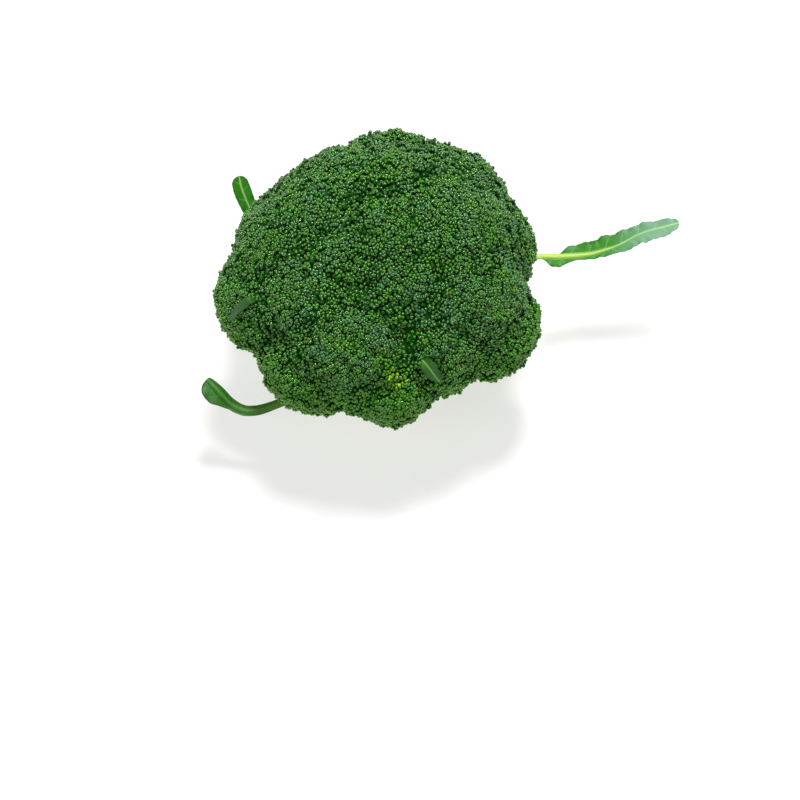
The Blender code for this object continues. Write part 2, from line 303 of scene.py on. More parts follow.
def stem_material():
    """Stalk and stem skin: smooth, waxy and pale yellow-green, faintly grooved lengthwise.

    It gives the eye a soft sheen, paler ridges, and greener skin up in the forks. Where the
    stalk is cut it shows moist pith in a greener ring.
    """
    stems = bpy.context.scene.broccoli.stems
    material, tree, shader = new_material("waxy_stem_skin")
    place = add_node(tree, "TexCoord")["Object"]
    data = add_node(tree, "Attribute", {"attribute_name": "stem"})
    rise, cut, ring = add_node(tree, "SeparateColor", {"Color": data["Color"]}).values()
    # Pale patches are about 8 mm across, grooves 1.3 mm and the pith's grain 1.1 mm, and the
    # first two are drawn out lengthwise.
    clouds, grooves, flesh = (
        add_node(tree, "TexNoise", {"Vector": where["Vector"], "Scale": 1 / size, "Detail": detail})["Fac"]
        for where, size, detail in (
            (add_node(tree, "Mapping", {"Vector": place, "Scale": (1.0, 1.0, 0.35)}), 0.008, 3.0),
            (add_node(tree, "Mapping", {"Vector": place, "Scale": (1.0, 1.0, 0.12)}), 0.0013, 2.0),
            (add_node(tree, "Mapping", {"Vector": place}), 0.0011, 3.0),
        )
    )
    ridges, streaks, forks, moist = (
        add_node(tree, "MapRange", {**SMOOTH, "Value": value, "From Min": low, "From Max": high})["Result"]
        for value, low, high in (
            (clouds, 0.35, 0.68),
            (grooves, 0.52, 0.72),
            (rise, 0.35, 1.0),
            (flesh, 0.3, 0.8),
        )
    )
    deep = tuple(stems.skin_deep)
    base = {"Factor_Float": ridges, "A_Color": tuple(stems.skin), "B_Color": tuple(stems.skin_pale)}
    base = add_node(tree, "Mix", {**COLOURS, **base})["Result_Color"]
    streaked = {**COLOURS, "Factor_Float": streaks, "A_Color": base, "B_Color": deep}
    streaked = add_node(tree, "Mix", streaked)["Result_Color"]
    pith, moister = tuple(stems.pith), tuple(stems.pith_moist)
    pith = {**COLOURS, "Factor_Float": moist, "A_Color": pith, "B_Color": moister}
    pith = add_node(tree, "Mix", pith)["Result_Color"]
    face = {**COLOURS, "Factor_Float": ring, "A_Color": pith, "B_Color": tuple(stems.pith_ring)}
    face = add_node(tree, "Mix", face)["Result_Color"]
    colour = base
    for share, layer in ((0.35, streaked), (forks, deep), (cut, face)):
        layers = {**COLOURS, "Factor_Float": share, "A_Color": colour, "B_Color": layer}
        colour = add_node(tree, "Mix", layers)["Result_Color"]
    tree.links.new(colour, shader.inputs["Base Color"])
    shader.inputs["Roughness"].default_value = 0.38
    shader.inputs["Subsurface Weight"].default_value = 0.12
    shader.inputs["Subsurface Radius"].default_value = (0.004, 0.005, 0.0015)
    shader.inputs["Subsurface Scale"].default_value = 0.5
    grooved = add_node(tree, "Bump", {"Strength": 0.35, "Distance": 0.0005, "Height": grooves})
    tree.links.new(grooved["Normal"], shader.inputs["Normal"])
    return material


def leaf_material():
    """Thin brassica leaf: satin green blade with a pale midrib and fine side veins.

    It gives the eye a soft sheen, a darker rim, and grey wax that gathers at the tip.
    """
    leaves = bpy.context.scene.broccoli.leaves
    material, tree, shader = new_material("satin_leaf")
    place = add_node(tree, "TexCoord")["Object"]
    data = add_node(tree, "Attribute", {"attribute_name": "leaf"})
    vein, dark, stalk = add_node(tree, "SeparateColor", {"Color": data["Color"]}).values()
    # Mottles are about 5 mm across and puckers 1.6 mm.
    clouds, puckers = (
        add_node(tree, "TexNoise", {"Vector": place, "Scale": 1 / size, "Detail": detail})["Fac"]
        for size, detail in ((0.005, 3.0), (0.0016, 2.0))
    )
    mottled = {"operation": "MULTIPLY_ADD", "Value": clouds, "Value_001": 0.5, "Value_002": dark}
    mottled = add_node(tree, "Math", mottled)["Value"]
    darker = {**SMOOTH, "Value": mottled, "From Min": 0.25, "From Max": 1.25}
    darker = add_node(tree, "MapRange", darker)["Result"]
    colour = tuple(leaves.blade)
    for share, layer in (
        (darker, leaves.blade_dark),
        (data["Alpha"], leaves.wax),
        (vein, leaves.vein),
        (stalk, leaves.stalk),
    ):
        layers = {**COLOURS, "Factor_Float": share, "A_Color": colour, "B_Color": tuple(layer)}
        colour = add_node(tree, "Mix", layers)["Result_Color"]
    tree.links.new(colour, shader.inputs["Base Color"])
    shader.inputs["Roughness"].default_value = 0.48
    shader.inputs["Specular IOR Level"].default_value = 0.25
    puckered = add_node(tree, "Bump", {"Strength": 0.35, "Distance": 0.0004, "Height": puckers})
    tree.links.new(puckered["Normal"], shader.inputs["Normal"])
    return material


# ---- The crown ------------------------------------------------------------------------------


def unit(vectors):
    """The vectors, each made one long."""
    return vectors / np.maximum(np.linalg.norm(vectors, axis=-1, keepdims=True), 1e-12)


def square_to(ways):
    """Two unit vectors for each way that are square to it and to each other."""
    other = np.where(np.abs(ways[..., 2:]) > 0.7, (1.0, 0.0, 0.0), (0.0, 0.0, 1.0))
    side = unit(np.cross(ways, other))
    return side, np.cross(ways, side)


# Each head's tilt from straight up and turn about the stalk in degrees, its dome's radius, how
# far it stands out of the crown, and the height and turn at which its stem leaves the stalk.
HEADS = {
    "middle": (15, -42, 0.0400, 0.0035, 0.0500, -40),
    "middle_left": (33, -128, 0.0380, 0.0000, 0.0460, -128),
    "back_top": (36, 70, 0.0380, 0.0040, 0.0460, 66),
    "back_left_top": (38, 126, 0.0370, 0.0050, 0.0470, 126),
    "middle_front": (46, -68, 0.0380, -0.0010, 0.0390, -70),
    "left_top": (43, 170, 0.0370, 0.0020, 0.0420, 176),
    "right_top": (53, 5, 0.0440, 0.0060, 0.0390, 2),
    "left": (66, -174, 0.0330, 0.0030, 0.0225, -175),
    "right": (71, -30, 0.0350, 0.0060, 0.0310, -30),
    "front_left": (77, -105, 0.0360, 0.0050, 0.0270, -104),
    "left_front": (66, -138, 0.0340, 0.0010, 0.0300, -139),
    "back_right": (63, 38, 0.0360, 0.0060, 0.0310, 40),
    "back": (66, 79, 0.0340, 0.0040, 0.0310, 82),
    "back_left": (70, 138, 0.0320, -0.0030, 0.0300, 134),
    "rim_left": (83, -160, 0.0290, 0.0070, 0.0120, -160),
    "rim_front_left": (94, -124, 0.0290, 0.0080, 0.0120, -126),
    "rim_front": (94, -84, 0.0260, 0.0070, 0.0130, -84),
    "rim_front_right": (82, -56, 0.0310, 0.0030, 0.0190, -56),
    "rim_right_front": (92, -28, 0.0290, 0.0090, 0.0140, -26),
    "rim_right": (85, 15, 0.0310, 0.0030, 0.0180, 14),
    "rim_back_right": (88, 60, 0.0270, 0.0000, 0.0160, 62),
    "rim_back": (90, 106, 0.0260, 0.0000, 0.0150, 106),
    "rim_back_left": (90, 155, 0.0250, 0.0000, 0.0150, 156),
}
CROWN_MIDDLE = np.array((0.0, -0.0030, 0.0660))
CROWN_HALVES = np.array((0.0750, 0.0715, 0.0590))
HEAD_DEPTH = 0.0215
# How widely neighbouring domes run into each other.
DOME_EASE = 0.0014
# How far apart the middles of neighbouring lobes and rosettes of buds lie, and how far from
# its own middle each one's edge is, where the surface is lowest.
LOBE_SPACING, LOBE_EDGE = 0.0125, 0.0092
ROSETTE_SPACING, ROSETTE_EDGE = 0.0043, 0.0027
# From here outwards a rosette's buds are full grown and lean out as far as they can.
ROSETTE_FULL = 0.0022
# A lobe or rosette further than this from a head's middle leaves its surface alone.
LOBES_WITHIN = 0.060
# The ends of a stem's first branches point at places this far apart on the crown.
BRANCH_SPACING = 0.021


def direction(tilt, turn):
    """The unit vector tilt degrees from straight up, turned about the stalk."""
    tilt, turn = np.radians((tilt, turn))
    return np.array((np.sin(tilt) * np.cos(turn), np.sin(tilt) * np.sin(turn), np.cos(tilt)))


def dome_middle(name):
    """A head's dome touches the crown's ellipsoid, raised by its swell, from inside."""
    tilt, turn, radius, swell = HEADS[name][:4]
    way = direction(tilt, turn)
    crown = ((way / CROWN_HALVES) ** 2).sum() ** -0.5
    return CROWN_MIDDLE + way * (crown + swell - radius)


class Head:
    """A floret's head: its dome, the walls between it and its neighbours, its underside,
    and the point inside it that its surface is measured from."""

    def __init__(self, name):
        tilt, turn, self.radius, _, self.attach, self.side = HEADS[name]
        self.name = name
        self.centre = dome_middle(name)
        self.axis = direction(0.72 * tilt, turn)
        self.stem_end = self.centre + self.axis * (self.radius - HEAD_DEPTH)
        self.crest = self.centre + self.axis * self.radius
        self.middle = self.stem_end * 0.45 + self.crest * 0.55
        self.domes = np.array([dome_middle(other) for other in HEADS])
        self.radii = np.array([HEADS[other][2] for other in HEADS])
        apart = self.domes - self.centre
        length = np.linalg.norm(apart, axis=1)
        self.near = np.flatnonzero((length < self.radius + self.radii) & (length > 0))
        apart, length, radii = apart[self.near], length[self.near], self.radii[self.near]
        self.wall_normals = apart / length[:, None]
        along = (self.radius**2 - radii**2 + length**2) / (2 * length)
        self.wall_reach = self.wall_normals @ self.centre + along

    def reach(self, ways, power=18.0):
        """The crown's surface in directions from the middle, as a distance, that distance
        over the nearest wall's, and the dome's distance over it.

        The crown is all the domes run together: -k log of the sum of exp(-distance / k) is
        zero on it. Its edge is rounded into the underside: the sum of the two distances to
        the power -p, taken to the power -1/p.
        """
        out = self.middle - self.centre
        along = ways @ out
        dome = np.sqrt(along**2 - out @ out + self.radius**2) - along
        top = dome.copy()
        for _ in range(7):
            points = self.middle + ways * top[:, None]
            inside = np.linalg.norm(points[:, None] - self.domes, axis=2) - self.radii
            top += DOME_EASE * np.log(np.exp(-inside / DOME_EASE).sum(1))
        facing = ways @ self.wall_normals.T
        room = self.wall_reach - self.wall_normals @ self.middle
        walls = np.where(facing > 1e-3, room / np.maximum(facing, 1e-3), 1.0).min(1)
        facing_down = ways @ -self.axis
        drop = (self.middle - self.stem_end) @ self.axis + 0.0015
        under = np.where(facing_down > 1e-3, drop / np.maximum(facing_down, 1e-3), 1.0)
        reach = top * (1 + (top / under) ** power) ** (-1 / power)
        return reach, reach / walls, top / reach

    def at(self, ways):
        """The points of the crown's surface in directions from the middle."""
        return self.middle + ways * self.reach(ways)[0][:, None]

    def outwards(self, points):
        """The way out of the crown at points: every dome's own, by its share in the union."""
        spokes = points[:, None] - self.domes
        length = np.linalg.norm(spokes, axis=2)
        shares = np.exp(-np.clip(length - self.radii, -0.02, 0.02) / DOME_EASE)
        return unit((spokes * (shares / length)[..., None]).sum(1))

    def scattered(self, spacing, seed):
        """Directions to a shaken golden-angle spiral of points over the head's own dome."""
        rng = np.random.default_rng(seed + len(self.name))
        count = int(4 * np.pi * self.radius**2 / (0.866 * spacing**2))
        rank = np.arange(count) + rng.uniform(0.2, 0.8)
        height = 1 - 2 * rank / count
        turn = rank * np.pi * (3 - np.sqrt(5)) + rng.uniform(0, 6)
        flat = np.sqrt(np.maximum(1 - height**2, 0))
        ways = np.c_[flat * np.cos(turn), flat * np.sin(turn), height]
        points = self.centre + self.radius * ways + rng.normal(0, 0.25 * spacing, (count, 3))
        ways = unit(points - self.middle)
        _, past_wall, past_rim = self.reach(ways)
        return ways[(past_wall < 1.005) & (past_rim < 1.36)]


def spread_over(heads, spacing, seed, rounds):
    """Directions, for each head, to points spaced evenly over the whole crown.

    In each round neighbours within 1.3 spacings, on the same head or the next, push each
    other apart along the line between them, and each point goes back to the surface.
    """
    ways = [head.scattered(spacing, seed) for head in heads]
    for _ in range(rounds):
        points = [head.at(way) for head, way in zip(heads, ways)]
        for i, head in enumerate(heads):
            own = points[i] - head.middle
            others = np.concatenate([points[k] for k in head.near]) - head.middle
            past = (others + head.middle) @ head.wall_normals.T - head.wall_reach
            both = np.concatenate((own, others[past.max(1) < 1.6 * spacing]))
            square = (own**2).sum(1)[:, None] + (both**2).sum(1) - 2 * own @ both.T
            distance = np.sqrt(np.maximum(square, 1e-14))
            push = np.clip(1 - distance / (1.3 * spacing), 0, 1) / distance
            push[np.arange(len(own)), np.arange(len(own))] = 0
            shift = own * push.sum(1)[:, None] - push @ both
            ways[i] = unit(own + shift * 0.4 * spacing)
    return ways


class Crown:
    """All the heads, with the middles of their lobes and of their rosettes of buds."""

    def __init__(self):
        self.heads = [Head(name) for name in HEADS]
        rng = np.random.default_rng(31)
        self.lobes, self.rosettes = (
            [head.at(way) for head, way in zip(self.heads, spread_over(self.heads, spacing, seed, 6))]
            for spacing, seed in ((LOBE_SPACING, 11), (ROSETTE_SPACING, 23))
        )
        self.all_lobes = np.concatenate(self.lobes)
        self.all_rosettes = np.concatenate(self.rosettes)
        self.lobe_raise = rng.normal(0, 1, len(self.all_lobes)).clip(-1.6, 1.2)
        self.rosette_raise = rng.normal(0, 1, len(self.all_rosettes)).clip(-1.8, 1.2)

    def surface(self, head, ways, sink=0.0):
        """Points of the knobbly surface of the buds, and for each its rosette's number.

        The crown's surface, lowered between the lobes and again between the rosettes by
        rise * (1 - sqrt(1 - (d / size)^2)), where d is the distance to the nearest hub, and
        raised or lowered by each hub's own share of the rise.
        """
        buds = bpy.context.scene.broccoli.buds
        points = head.at(ways)
        change = np.full(len(ways), -sink)
        for hubs, raised, size, rise in (
            (self.all_lobes, self.lobe_raise, LOBE_EDGE, buds.lobe_rise),
            (self.all_rosettes, self.rosette_raise, ROSETTE_EDGE, buds.rosette_rise),
        ):
            close = np.flatnonzero(np.linalg.norm(hubs - head.middle, axis=1) < LOBES_WITHIN)
            square = ((points[:, None] - hubs[close]) ** 2).sum(2)
            share = np.clip(square.min(1) / size**2, 0, 1)
            change -= rise * (1 - np.sqrt(1 - share))
            weights = np.exp(-square / (0.45 * size) ** 2) + 1e-12
            change += 0.22 * rise * (weights @ raised[close]) / weights.sum(1)
        return points + head.outwards(points) * change[:, None], close[square.argmin(1)]


@cache
def grown_crown():
    """The crown, worked out once for all the operators."""
    return Crown()


# ---- Buds -----------------------------------------------------------------------------------

BUD_SIDES = 8
# The angles from a bud's tip to its pole, its three rings and its other pole.
BUD_RINGS = np.radians((0.0, 36.0, 76.0, 122.0, 180.0))
BUD_POINTS = 2 + 3 * BUD_SIDES
# The middle of the one patch where the buds are about to open.
YELLOW_PATCH = np.array((0.0078, -0.0724, 0.0836))


def bud_cells(count):
    """Each bud's own square of the map, as its lower left corner and its side."""
    across = int(np.ceil(np.sqrt(count)))
    number = np.arange(count)
    return np.c_[number % across, number // across] / across, 1 / across


def bud_map(faces, around):
    """Where a bud's faces lie in its own square of the map: in a disc with the tip in its
    middle, each ring at a set share of the way out, and the foot along its edge.

    The last faces of a ring end a full turn on, and each face at the foot has its own point.
    """
    here = np.tile(np.arange(BUD_SIDES), len(faces) // BUD_SIDES)
    foot = BUD_POINTS - 1
    spread = np.r_[0.0, np.repeat((0.28, 0.58, 0.84), BUD_SIDES), 1.0][faces]
    swing = np.r_[0.0, np.tile(around, 3), 0.0][faces]
    full_turn = (swing == 0) & (here == BUD_SIDES - 1)[:, None] & (faces != 0) & (faces != foot)
    swing = swing + 2 * np.pi * (full_turn & (swing.max(1) > np.pi)[:, None])
    middle = (here + 0.5) * 2 * np.pi / BUD_SIDES
    swing = np.where(faces == foot, middle[:, None], swing)
    return 0.5 + 0.47 * spread[..., None] * np.stack((np.cos(swing), np.sin(swing)), -1)


def bud_mesh(centres, ways, radii, heights, turns):
    """Closed flower buds: a pole, three rings and a pole along each bud's way.

    A ring at the angle a from the tip lies at height * cos a along the way and at
    radius * sin a^0.9 * (1 + 0.07 cos 4 turn) from it, so a bud shows its four sepals.
    """
    count = len(centres)
    side, front = square_to(ways)
    around = 2 * np.pi * np.arange(BUD_SIDES) / BUD_SIDES
    angle = around[None] + turns[:, None]
    spoke = side[:, None] * np.cos(angle)[..., None] + front[:, None] * np.sin(angle)[..., None]
    sepals = 1 + 0.07 * np.cos(4 * around)
    flat = np.sin(BUD_RINGS[1:4]) ** 0.9
    tall = np.cos(BUD_RINGS[1:4])
    rings = (
        centres[:, None, None]
        + spoke[:, None] * (radii[:, None] * flat)[..., None, None] * sepals[:, None]
        + (ways[:, None] * (heights[:, None] * tall)[..., None])[:, :, None]
    )
    tips = centres + ways * heights[:, None]
    feet = centres - ways * heights[:, None]
    points = np.concatenate((tips[:, None], rings.reshape(count, -1, 3), feet[:, None]), axis=1)
    here = np.arange(BUD_SIDES)
    there = (here + 1) % BUD_SIDES
    upper, middle, lower = (1 + BUD_SIDES * ring for ring in range(3))
    parts = [np.c_[np.zeros_like(here), upper + here, upper + there]]
    for high, low in ((upper, middle), (middle, lower)):
        parts.append(np.c_[high + here, low + here, low + there])
        parts.append(np.c_[high + here, low + there, high + there])
    parts.append(np.c_[lower + here, np.full_like(here, BUD_POINTS - 1), lower + there])
    faces = np.concatenate(parts)
    every = faces[None] + (np.arange(count) * BUD_POINTS)[:, None, None]
    corner, side_length = bud_cells(count)
    uv = corner[:, None, None] + bud_map(faces, around)[None] * side_length
    return points.reshape(-1, 3), every.reshape(-1, 3), uv.reshape(-1, 2)


def bud_paint(crown, points, rosette, crease, rng):
    """What the buds' material reads at each point: the bud's tone, made a little darker near the
    creases between heads as painted shade; how near the point is to the bud's tip, which sets the
    painted shade at the foot and the pale tip lines; how far the bud is yellowed, by being younger
    and by sitting low on the crown, the latter as painted green light reflected from below; and
    whether the point is where two sepals meet."""
    buds = bpy.context.scene.broccoli.buds
    tip = np.r_[1.0, np.repeat(0.5 + 0.5 * np.cos(BUD_RINGS[1:4]), BUD_SIDES), 0.0]
    # Buds low on the crown are yellowed: painted green light reflected up from below.
    low = np.clip((0.094 - points[:, 2]) / 0.038, 0, 1)
    patch = np.exp(-(((points - YELLOW_PATCH) ** 2).sum(1) / 0.0076**2))
    shade = np.random.default_rng(buds.seed).uniform(0, 1, len(crown.all_rosettes))
    tone = 0.55 * rng.uniform(0, 1, len(points)) + 0.45 * shade[rosette]
    ridge = np.r_[0.5, np.tile((1.0, 0.0), 3 * BUD_SIDES // 2), 0.5]
    # Buds near the creases between heads are darkened by 12 per cent: painted shade in the creases.
    values = (
        np.repeat(tone * (1 - 0.12 * crease), BUD_POINTS),
        np.tile(tip, len(points)),
        np.repeat(0.85 * low + 1.6 * patch * rng.uniform(0.5, 1, len(points)), BUD_POINTS),
        np.tile(ridge, len(points)),
    )
    return np.stack(values, 1)


def make_buds(crown, head, ways, material):
    """One head's buds: evenly spread, fanned out in rosettes, smaller in a rosette's middle."""
    buds = bpy.context.scene.broccoli.buds
    rng = np.random.default_rng(buds.seed + sum(map(ord, head.name)))
    points, rosette = crown.surface(head, ways)
    nudge = 0.025
    side, front = (nudge * step for step in square_to(ways))
    along, back, away, home = (
        crown.surface(head, unit(ways + step))[0] for step in (side, -side, front, -front)
    )
    normals = unit(np.cross(along - back, away - home))
    normals *= np.sign((normals * ways).sum(1))[:, None]
    offset = (points - crown.all_rosettes[rosette]) / ROSETTE_FULL
    offset -= normals * (offset * normals).sum(1)[:, None]
    fan = np.clip(np.linalg.norm(offset, axis=1), 0, 1)
    lean = unit(normals + 0.55 * offset + rng.normal(0, 0.16, points.shape))
    crease = np.clip((head.reach(ways)[1] - 0.90) / 0.10, 0, 1)
    size = (0.89 + 0.14 * fan + 0.03 * crease) * rng.uniform(0.80, 1.20, len(points))
    heights = buds.height * size * rng.uniform(0.9, 1.12, len(points))
    sunk = points - normals * (heights * 0.6 + rng.uniform(-0.0004, 0.0006, len(points)))[:, None]
    turns = rng.uniform(0, np.pi / 2, len(points))
    mesh_points, faces, uv = bud_mesh(sunk, lean, buds.radius * size, heights, turns)
    piece = new_piece(head.name + "_flower_buds", mesh_points, faces, material)
    layer = piece.data.uv_layers.new(name=BAKE_MAP)
    layer.data.foreach_set("uv", uv.astype(np.float32).ravel())
    add_attribute(piece, "bud", bud_paint(crown, points, rosette, crease, rng))
    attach(piece, "root")
    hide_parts(head.name + "_buds")


def make_bed(crown, head, material):
    """The closed layer under a head's buds: an outer and an inner surface that meet where
    the buds stop. Both are the head's surface, sunk, over a grid of turn and polar angle."""
    sides, rows, tried = 64, 22, 146
    side, front = square_to(head.axis)
    turn = 2 * np.pi * np.arange(sides) / sides
    spokes = side * np.cos(turn)[:, None] + front * np.sin(turn)[:, None]

    def ways_at(polar):
        """Directions at polar angles from the head's axis, one column for each turn."""
        return head.axis * np.cos(polar)[..., None] + spokes * np.sin(polar)[..., None]

    tries = np.radians(np.linspace(10, 155, tried))[:, None] * np.ones(sides)
    _, past_wall, past_rim = head.reach(ways_at(tries).reshape(-1, 3))
    past = np.maximum(past_wall / 1.08, past_rim / 1.34).reshape(tried, sides)
    stop = tries[(past > 1.0).argmax(0), 0]
    share = np.linspace(0.02, 1, rows)[:, None]
    flat = ways_at(share * stop).reshape(-1, 3)
    outer, inner = (
        crown.surface(head, flat, sink)[0].reshape(rows, sides, 3) for sink in (0.0018, 0.0044)
    )
    rings = np.concatenate((outer, inner[::-1])).reshape(-1, 3)
    points = np.concatenate((outer[0].mean(0)[None], rings, inner[0].mean(0)[None]))
    faces = lathe_faces(2 * rows, sides)[:, ::-1]
    piece = new_piece(head.name + "_bud_bed", points, faces, material)
    # The outer side is marked for the deep green of painted shade between the buds.
    above = np.arange(len(points)) <= rows * sides
    add_attribute(piece, "bed", np.c_[above, above, above])
    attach(piece, "root")


# ---- Stems ----------------------------------------------------------------------------------


def lathe_faces(rows, sides):
    """Faces of rows of rings between two poles: the first point, the rings, the last point."""
    here = np.arange(sides)
    there = (here + 1) % sides
    row = 1 + sides * np.repeat(np.arange(rows - 1), sides)
    a, b = np.tile(here, rows - 1), np.tile(there, rows - 1)
    last = 1 + sides * (rows - 1)
    return np.concatenate(
        (
            np.c_[np.zeros_like(here), 1 + there, 1 + here],
            np.c_[row + a, row + b, row + sides + b],
            np.c_[row + a, row + sides + b, row + sides + a],
            np.c_[np.full_like(here, last + sides), last + here, last + there],
        )
    )


def rods(paths, radii, sides):
    """Round rods along many paths at once, with a pole closing each end.

    paths holds rods by steps by coordinates, radii rods by steps. Each step's ring is a
    circle across the path, turned from one reference that stands square to both ends.
    """
    count, steps = radii.shape
    ways = unit(np.gradient(paths, axis=1))
    square = np.cross(ways[:, 0], ways[:, -1])
    bent = np.linalg.norm(square, axis=1, keepdims=True) > 0.02
    straight = square_to(unit(paths[:, -1] - paths[:, 0]))[0]
    square = np.where(bent, square, straight)[:, None]
    first = unit(square - ways * (square * ways).sum(2, keepdims=True))
    second = np.cross(ways, first)
    turn = 2 * np.pi * np.arange(sides) / sides
    spokes = (
        first[:, :, None] * np.cos(turn)[:, None] + second[:, :, None] * np.sin(turn)[:, None]
    )
    rings = paths[:, :, None] + spokes * radii[..., None, None]
    start = paths[:, 0] - ways[:, 0] * radii[:, :1] * 0.4
    end = paths[:, -1] + ways[:, -1] * radii[:, -1:] * 0.4
    points = np.concatenate((start[:, None], rings.reshape(count, -1, 3), end[:, None]), 1)
    faces = lathe_faces(steps, sides)
    every = faces[None] + (np.arange(count) * points.shape[1])[:, None, None]
    return points.reshape(-1, 3), every.reshape(-1, 3)


def bowed(starts, pulls, ends, steps):
    """Quadratic Bezier curves: (1 - t)^2 a + 2 t (1 - t) b + t^2 c for each row of points."""
    t = np.linspace(0, 1, steps)[None, :, None]
    return (1 - t) ** 2 * starts[:, None] + 2 * t * (1 - t) * pulls[:, None] + t**2 * ends[:, None]


def joined(*parts):
    """Several (points, faces) pairs as one."""
    starts = np.cumsum([0] + [len(points) for points, _ in parts])
    faces = [faces + start for (_, faces), start in zip(parts, starts)]
    return np.concatenate([points for points, _ in parts]), np.concatenate(faces)


def trunk_path(head, steps=26):
    """A stem's middle line: the cubic Bezier that leaves the stalk outwards and upwards,
    from 8 mm under its skin, and reaches the head along its axis."""
    outwards = direction(90, head.side)
    lead = unit(outwards + 0.75 * UP)
    ridge = stalk_radius(head.attach, np.radians(head.side))
    start = outwards * (ridge - 0.0080) + UP * (head.attach - 0.0015)
    end = head.stem_end - head.axis * 0.003
    pull = 0.40 * np.linalg.norm(end - start)
    t = np.linspace(0, 1, steps)[:, None]
    return (
        (1 - t) ** 3 * start
        + 3 * t * (1 - t) ** 2 * (start + lead * pull)
        + 3 * t**2 * (1 - t) * (end - head.axis * pull)
        + t**3 * end
    )


class Branching:
    """How a head's stem divides: branches to a few points, twigs to every lobe, and rays
    to every rosette, each from the nearest thicker one."""

    def __init__(self, crown, head, tops, lobes, rosettes):
        self.head = head
        self.trunk = trunk_path(head)
        foot = head.stem_end
        self.branch_ends = foot + (tops - foot) * 0.52
        fork = self.trunk[-9 + (np.arange(len(tops)) * 5) % 7]
        bend = foot + (self.branch_ends - foot) * 0.30 + head.axis * 0.003
        self.branches = bowed(fork, bend, self.branch_ends, 12)
        self.twig_ends = foot + (lobes - foot) * 0.76
        home = nearest(self.branch_ends, self.twig_ends)
        bend = self.branch_ends[home] * 0.6 + self.twig_ends * 0.4
        self.twigs = bowed(self.branches[home, 8], bend, self.twig_ends, 8)
        ends = crown.surface(head, unit(rosettes - head.middle), 0.0062)[0]
        before = foot + (rosettes - foot) * 0.80
        home = nearest(self.twig_ends, before)
        bend = self.twig_ends[home] * 0.45 + before * 0.55
        self.rays = bowed(self.twigs[home, 5], bend, ends, 7)


def branchings():
    """How each head's stem divides, with its branches spread evenly under the head."""
    crown = grown_crown()
    tops = spread_over(crown.heads, BRANCH_SPACING, 5, 6)
    return [
        Branching(crown, head, head.at(ways), lobes, rosettes)
        for head, ways, lobes, rosettes in zip(crown.heads, tops, crown.lobes, crown.rosettes)
    ]


def nearest(homes, points):
    """The number of the home that is nearest to each point."""
    return ((points[:, None] - homes[None]) ** 2).sum(2).argmin(1)


def stalk_radius(height, turn):
    """The stalk's radius at a height and turn: it narrows to the power 1.5 of the height,
    and five soft ridges fade in it."""
    foot, top, tall = 0.0215, 0.0100, 0.052
    share = np.clip(height / tall, 0, 1)
    plain = foot + (top - foot) * share**1.5
    return plain * (1 + 0.10 * (1 - share) * np.cos(5 * turn))


STALK_SIDES = 96
STALK_TURNS = 2 * np.pi * np.arange(STALK_SIDES) / STALK_SIDES


def stalk_mesh(height, share, high):
    """Rings around the stalk's middle at heights, each at a share of the stalk's radius
    there, closed by poles at the first height and at high."""
    radius = share * stalk_radius(height[:, None], STALK_TURNS[None])
    level = np.broadcast_to(height[:, None], radius.shape)
    rings = np.stack((radius * np.cos(STALK_TURNS), radius * np.sin(STALK_TURNS), level), -1)
    points = np.concatenate((((0, 0, height[0]),), rings.reshape(-1, 3), ((0, 0, high),)))
    return points, lathe_faces(len(height), STALK_SIDES)


def grown_together(name, points, faces, voxel, material):
    """Turns overlapping closed shapes into one skin, and eases its creases."""
    rough = new_piece(name + "_rough", points, faces, material)
    remesh = rough.modifiers.new("skin", "REMESH")
    remesh.mode = "VOXEL"
    remesh.voxel_size = voxel
    smooth = rough.modifiers.new("ease", "SMOOTH")
    smooth.factor = 0.5
    smooth.iterations = 3
    graph = bpy.context.evaluated_depsgraph_get()
    mesh = bpy.data.meshes.new_from_object(rough.evaluated_get(graph))
    bpy.data.objects.remove(rough)
    mesh.name = name
    mesh.polygons.foreach_set("use_smooth", np.ones(len(mesh.polygons), bool))
    mesh.materials.clear()
    mesh.materials.append(material)
    piece = bpy.data.objects.new(name, mesh)
    bpy.context.scene.collection.objects.link(piece)
    return piece


def piece_points(piece):
    """The points of a piece's mesh as an array."""
    points = np.empty(len(piece.data.vertices) * 3, np.float32)
    piece.data.vertices.foreach_get("co", points)
    return points.reshape(-1, 3).astype(float)


def make_stems(branchings, material):
    """Stalk, stems and their first branches as one skin.

    A stem is thick where it leaves the stalk, thins, and swells under its head. A branch's
    radius is 3.4 - 1.3 t + 0.4 t^3 millimetres.
    """
    stems = bpy.context.scene.broccoli.stems
    parts = [stalk_mesh(np.linspace(0.0003, 0.050, 24), 1.0, 0.052)]
    for part in branchings:
        girth = np.interp(
            np.linspace(0, 1, len(part.trunk)),
            (0, 0.08, 0.2, 0.5, 0.75, 0.9, 1),
            (0.0075, 0.0062, 0.0052, 0.0048, 0.0052, 0.0056, 0.0040),
        )
        parts.append(rods(part.trunk[None], girth[None], 16))
        t = np.linspace(0, 1, part.branches.shape[1])
        thick = np.tile(0.0034 - 0.0013 * t + 0.0004 * t**3, (len(part.branches), 1))
        parts.append(rods(part.branches, thick, 10))
    piece = grown_together("branching_stems", *joined(*parts), stems.voxel, material)
    points = piece_points(piece)
    ends = np.array([part.head.stem_end for part in branchings])
    near = np.sqrt(((points[:, None] - ends[None]) ** 2).sum(2)).min(1)
    rise = np.clip(1 - near / 0.022, 0, 1) * np.clip(points[:, 2] / 0.03, 0, 1)
    none = np.zeros(len(points))
    add_attribute(piece, "stem", np.c_[rise, none, none])
    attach(piece, "root")
    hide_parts(*(part.head.name + "_stem" for part in branchings))


